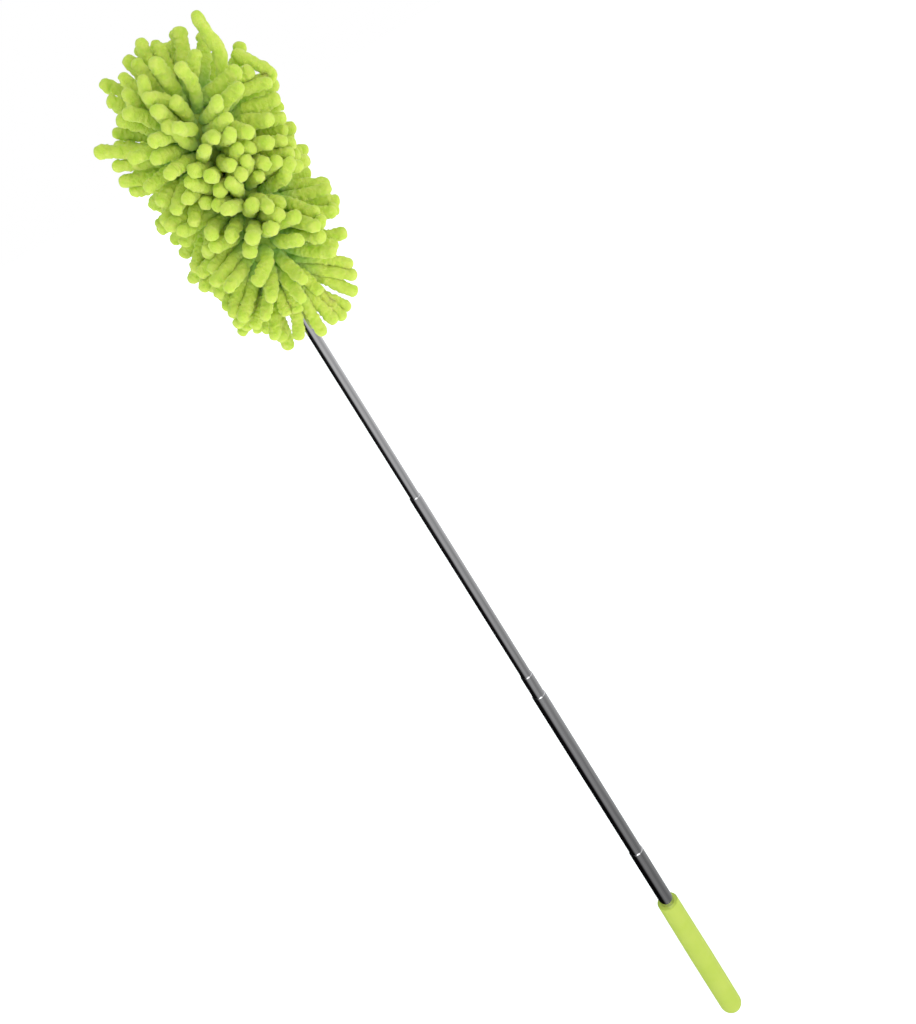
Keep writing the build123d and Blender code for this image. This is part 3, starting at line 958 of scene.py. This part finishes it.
def share_of_turn(nodes, links, split):
    """Which way a direction points round the upright axis, from 0 to 1."""
    turn = nodes.new("ShaderNodeMath")
    turn.operation = "ARCTAN2"
    links.new(split.outputs["X"], turn.inputs[0])
    front = nodes.new("ShaderNodeMath")
    front.operation = "MULTIPLY"
    front.inputs[1].default_value = -1.0
    links.new(split.outputs["Y"], front.inputs[0])
    links.new(front.outputs["Value"], turn.inputs[1])
    return ramp_value(nodes, links, turn.outputs["Value"], low=0.0, high=1.0, start=-math.pi, end=math.pi)


def lamp_spot(nodes, links, direction):
    """A soft bright spot, the lamp that gives the dots on the tubes' mouths."""
    toward = nodes.new("ShaderNodeVectorMath")
    toward.operation = "DOT_PRODUCT"
    toward.inputs[1].default_value = Vector(LAMP_DIRECTION).normalized()
    links.new(direction, toward.inputs[0])
    return ramp_value(nodes, links, toward.outputs["Value"], low=0.0, high=LAMP_STRENGTH,
                      start=LAMP_EDGE, end=LAMP_CORE)


def mirrored_room(nodes, links):
    """The studio that the steel mirrors: dark on the left, lit on the right."""
    place = nodes.new("ShaderNodeTexCoord")
    direction = place.outputs["Generated"]
    split = nodes.new("ShaderNodeSeparateXYZ")
    links.new(direction, split.inputs["Vector"])
    greys = [(share, (grey, grey, grey)) for share, grey in MIRRORED_ROOM]
    bands = ramp(nodes, links, share_of_turn(nodes, links, split), greys)
    height = ramp_value(nodes, links, split.outputs["Z"], low=MIRRORED_LOW, high=MIRRORED_HIGH,
                        start=LOW_Z, end=HIGH_Z)
    total = nodes.new("ShaderNodeMath")
    links.new(height, total.inputs[0])
    links.new(lamp_spot(nodes, links, direction), total.inputs[1])
    mirrored = nodes.new("ShaderNodeBackground")
    links.new(bands, mirrored.inputs["Color"])
    links.new(total.outputs["Value"], mirrored.inputs["Strength"])
    return mirrored


def plain_room(nodes, color, strength=1.0):
    """The same light from everywhere."""
    room = nodes.new("ShaderNodeBackground")
    room.inputs["Color"].default_value = color
    room.inputs["Strength"].default_value = strength
    return room


def build_world():
    """White to the eye, a pale room as light, and a studio in what the steel mirrors."""
    world = bpy.data.worlds.new("studio")
    world.use_nodes = True
    bpy.context.scene.world = world
    nodes, links = world.node_tree.nodes, world.node_tree.links
    nodes.clear()
    output = nodes.new("ShaderNodeOutputWorld")
    path = nodes.new("ShaderNodeLightPath")
    shown = plain_room(nodes, ROOM_COLOR, ROOM_LIGHT).outputs["Background"]
    seen, mirrored = plain_room(nodes, SEEN_COLOR), mirrored_room(nodes, links)
    for ray, background in (("Is Camera Ray", seen), ("Is Glossy Ray", mirrored)):
        mix = nodes.new("ShaderNodeMixShader")
        links.new(path.outputs[ray], mix.inputs["Fac"])
        links.new(shown, mix.inputs[1])
        links.new(background.outputs["Background"], mix.inputs[2])
        shown = mix.outputs["Shader"]
    links.new(shown, output.inputs["Surface"])


def build_light():
    """One broad soft light from in front and a little to the right of the object."""
    light = bpy.data.lights.new("front", "SUN")
    light.energy = FRONT_LIGHT
    light.color = FRONT_COLOR
    light.angle = FRONT_ANGLE
    front = bpy.data.objects.new("front", light)
    front.rotation_euler = Vector(FRONT_AIM).to_track_quat("-Z", "Y").to_euler()
    front.visible_glossy = False
    bpy.context.collection.objects.link(front)


CAMERA_PLACE = (16.0 * MM, -581.6 * MM, 720.5 * MM)
CAMERA_PITCH = math.radians(26.22)
CAMERA_ROLL = math.radians(31.28)
CAMERA_LENS = 40.43
VIEW_GAMMA = 1.25


def build_camera():
    """Looks down at the duster from in front of its head, turned so that it lies across the picture."""
    data = bpy.data.cameras.new("camera")
    data.lens = CAMERA_LENS
    data.sensor_width = 36.0
    data.clip_start = 0.01
    camera = bpy.data.objects.new("camera", data)
    looking = Matrix.Rotation(math.pi / 2 - CAMERA_PITCH, 4, "X") @ Matrix.Rotation(-CAMERA_ROLL, 4, "Z")
    camera.matrix_world = Matrix.Translation(CAMERA_PLACE) @ looking
    bpy.context.collection.objects.link(camera)
    bpy.context.scene.camera = camera


build_camera()
build_world()
build_light()
build_floor()
paint_cad()
build_foam(foam_material())
build_wire(plain_metal("core_wire_steel", (0.45, 0.45, 0.47), 0.35, 700.0))
build_cloth(cloth_material())
build_elastic(elastic_material())
build_pile(chenille_material())
bpy.context.scene.view_settings.view_transform = "Standard"
bpy.context.scene.view_settings.gamma = VIEW_GAMMA
